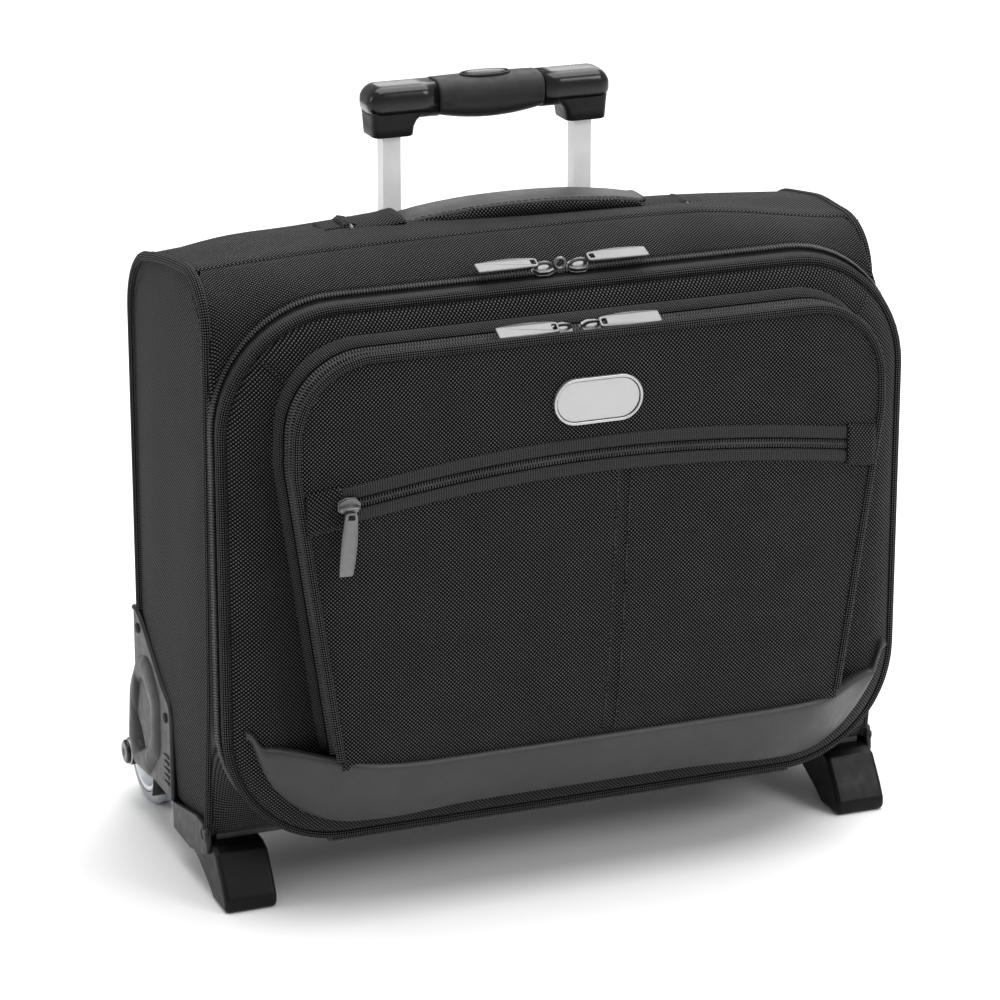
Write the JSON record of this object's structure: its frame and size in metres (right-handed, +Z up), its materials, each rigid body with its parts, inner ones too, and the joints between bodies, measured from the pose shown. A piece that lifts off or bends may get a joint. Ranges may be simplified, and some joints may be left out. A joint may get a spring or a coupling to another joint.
{
  "type": "rolling laptop case",
  "caption": "Wheeled fabric laptop case with telescopic handle, zipped front lid, organiser pocket and moulded feet.",
  "frame": {"origin": "middle of the footprint, on the floor that the feet and wheels stand on", "axes": "+X is the case's right as seen from the front, the front faces -Y, +Z is up"},
  "size_m": [0.448, 0.2809, 0.468],
  "materials": {
    "ballistic_fabric": "black 1680-denier ballistic weave",
    "lining_fabric": "dark grey woven lining",
    "trim_leatherette": "smooth dark grey leatherette",
    "binding_fabric": "woven piping and binding",
    "zip_coil": "dark nylon coil",
    "satin_nickel": "satin nickel zip hardware",
    "badge_metal": "satin anodised plate",
    "tube_aluminium": "bright anodised tube",
    "grip_plastic": "gloss black",
    "grip_rubber": "matte charcoal",
    "corner_plastic": "satin dark grey moulding",
    "frame_board": "stiff board",
    "hub_plastic": "pale translucent plastic",
    "tyre_grey": "light grey polyurethane tread",
    "steel": "zinc plated steel",
    "chrome": "polished chrome",
    "padding": "foam padding in woven cover"
  },
  "bodies": {
    "case": {"back_panel": "ballistic_fabric", "top_panel": "ballistic_fabric", "base_board": "frame_board", "front_frame": "ballistic_fabric", "laptop_divider": "padding", "handle_cover_board": "lining_fabric", "side_panel_left": "ballistic_fabric", "side_panel_right": "ballistic_fabric", "side_piping_left": "binding_fabric", "side_piping_right": "binding_fabric", "main_zip_coil": "zip_coil", "padlock_eyelet": "satin_nickel", "outer_tube_left": "tube_aluminium", "outer_tube_right": "tube_aluminium", "tube_shoes": "frame_board", "handle_bezel": "corner_plastic", "wheel_housing_left": "corner_plastic", "wheel_housing_right": "corner_plastic", "wheel_axles": "steel", "front_foot_left": "corner_plastic", "front_foot_right": "corner_plastic", "housing_screws": "steel", "strap_loops": "chrome", "handle_strap_ends": "trim_leatherette"},
    "wheel_left": {"wheel_hub_left": "hub_plastic", "tyre_left": "tyre_grey"},
    "wheel_right": {"wheel_hub_right": "hub_plastic", "tyre_right": "tyre_grey"},
    "middle_stage": {"middle_tube_left": "tube_aluminium", "middle_tube_right": "tube_aluminium"},
    "inner_stage": {"inner_tube_left": "tube_aluminium", "inner_tube_right": "tube_aluminium", "grip_lower_shell": "grip_plastic", "grip_upper_shell": "grip_plastic", "grip_sleeve": "grip_rubber", "button_spring": "steel"},
    "button": {"release_button": "grip_plastic"},
    "rods": {"release_rods": "steel"},
    "pin_left": {"lock_pin_left": "steel"},
    "pin_right": {"lock_pin_right": "steel"},
    "carry_handle": {"carry_handle_pad": "padding", "carry_handle_strap": "trim_leatherette"},
    "lid": {"lid_panel": "ballistic_fabric", "lid_wall": "ballistic_fabric", "trim_band": "trim_leatherette", "pocket_base_wall": "ballistic_fabric", "pocket_zip_coil": "zip_coil"},
    "pocket_flap": {"pocket_panel": "ballistic_fabric", "pocket_wall": "ballistic_fabric", "badge_plate": "badge_metal"},
    "slip_slider_body": {"slip_slider": "satin_nickel"},
    "slip_puller_body": {"slip_puller": "satin_nickel"},
    "main_slider_left_body": {"main_slider_left": "satin_nickel"},
    "main_puller_left_body": {"main_puller_left": "satin_nickel"},
    "main_slider_right_body": {"main_slider_right": "satin_nickel"},
    "main_puller_right_body": {"main_puller_right": "satin_nickel"},
    "pocket_slider_left_body": {"pocket_slider_left": "satin_nickel"},
    "pocket_puller_left_body": {"pocket_puller_left": "satin_nickel"},
    "pocket_slider_right_body": {"pocket_slider_right": "satin_nickel"},
    "pocket_puller_right_body": {"pocket_puller_right": "satin_nickel"}
  },
  "joints": [
    {"name": "wheel_left_spin", "type": "hinge", "parent": "case", "child": "wheel_left", "pos_m": [-0.203, 0.105, 0.0355], "axis": [1, 0, 0], "continuous": true},
    {"name": "wheel_right_spin", "type": "hinge", "parent": "case", "child": "wheel_right", "pos_m": [0.203, 0.105, 0.0355], "axis": [1, 0, 0], "continuous": true},
    {"name": "handle_lower_stage", "type": "slide", "parent": "case", "child": "middle_stage", "axis": [0, 0, 1], "range_m": [0, 0.27]},
    {"name": "handle_upper_stage", "type": "slide", "parent": "middle_stage", "child": "inner_stage", "axis": [0, 0, 1], "range_m": [-0.038, 0.23]},
    {"name": "release_button_press", "type": "slide", "parent": "inner_stage", "child": "button", "axis": [0, 0, -1], "range_m": [0, 0.003], "stiffness_N_per_m": 600, "springref_m": -0.001},
    {"name": "release_rods_slide", "type": "slide", "parent": "inner_stage", "child": "rods", "axis": [0, 0, -1], "range_m": [0, 0.003], "deforming": ["button_spring"]},
    {"name": "lock_pin_left_slide", "type": "slide", "parent": "inner_stage", "child": "pin_left", "axis": [1, 0, 0], "range_m": [0, 0.0021]},
    {"name": "lock_pin_right_slide", "type": "slide", "parent": "inner_stage", "child": "pin_right", "axis": [-1, 0, 0], "range_m": [0, 0.0021]},
    {"name": "carry_handle_lift", "type": "slide", "parent": "case", "child": "carry_handle", "axis": [0, 0, 1], "range_m": [0, 0.014]},
    {"name": "lid_hinge", "type": "hinge", "parent": "case", "child": "lid", "pos_m": [0, -0.079, 0.041], "axis": [1, 0, 0], "range_deg": [0, 60]},
    {"name": "pocket_flap_hinge", "type": "hinge", "parent": "lid", "child": "pocket_flap", "pos_m": [0, -0.1335, 0.1015], "axis": [1, 0, 0], "range_deg": [0, 45]},
    {"name": "slip_zip_travel", "type": "hinge", "parent": "pocket_flap", "child": "slip_slider_body", "pos_m": [0, -0.137, -0.641], "axis": [0, 1, 0], "range_deg": [0, 19]},
    {"name": "slip_puller_swing", "type": "hinge", "parent": "slip_slider_body", "child": "slip_puller_body", "pos_m": [-0.157, -0.1395, 0.263], "axis": [-1, 0, 0], "range_deg": [0, 120]},
    {"name": "main_zip_left_travel", "type": "slide", "parent": "case", "child": "main_slider_left_body", "axis": [-1, 0, 0], "range_m": [0, 0.115]},
    {"name": "main_puller_left_swing", "type": "hinge", "parent": "main_slider_left_body", "child": "main_puller_left_body", "pos_m": [-0.0195, -0.07747, 0.38187], "axis": [0, 0.9136, 0.4067], "range_deg": [0, 100]},
    {"name": "pocket_zip_left_travel", "type": "slide", "parent": "lid", "child": "pocket_slider_left_body", "axis": [-1, 0, 0], "range_m": [0, 0.105]},
    {"name": "pocket_puller_left_swing", "type": "hinge", "parent": "pocket_slider_left_body", "child": "pocket_puller_left_body", "pos_m": [-0.0255, -0.11497, 0.35917], "axis": [0, 0.9136, 0.4067], "range_deg": [0, 100]},
    {"name": "main_zip_right_travel", "type": "slide", "parent": "case", "child": "main_slider_right_body", "axis": [1, 0, 0], "range_m": [0, 0.115]},
    {"name": "main_puller_right_swing", "type": "hinge", "parent": "main_slider_right_body", "child": "main_puller_right_body", "pos_m": [0.0155, -0.07747, 0.38187], "axis": [0, -0.9136, -0.4067], "range_deg": [0, 100]},
    {"name": "pocket_zip_right_travel", "type": "slide", "parent": "lid", "child": "pocket_slider_right_body", "axis": [1, 0, 0], "range_m": [0, 0.105]},
    {"name": "pocket_puller_right_swing", "type": "hinge", "parent": "pocket_slider_right_body", "child": "pocket_puller_right_body", "pos_m": [0.0095, -0.11497, 0.35917], "axis": [0, -0.9136, -0.4067], "range_deg": [0, 100]}
  ],
  "couplings": [
    {"joint": "release_rods_slide", "follows": "release_button_press", "ratio": 1},
    {"joint": "lock_pin_left_slide", "follows": "release_button_press", "ratio": 0.6667},
    {"joint": "lock_pin_right_slide", "follows": "release_button_press", "ratio": 0.6667}
  ]
}
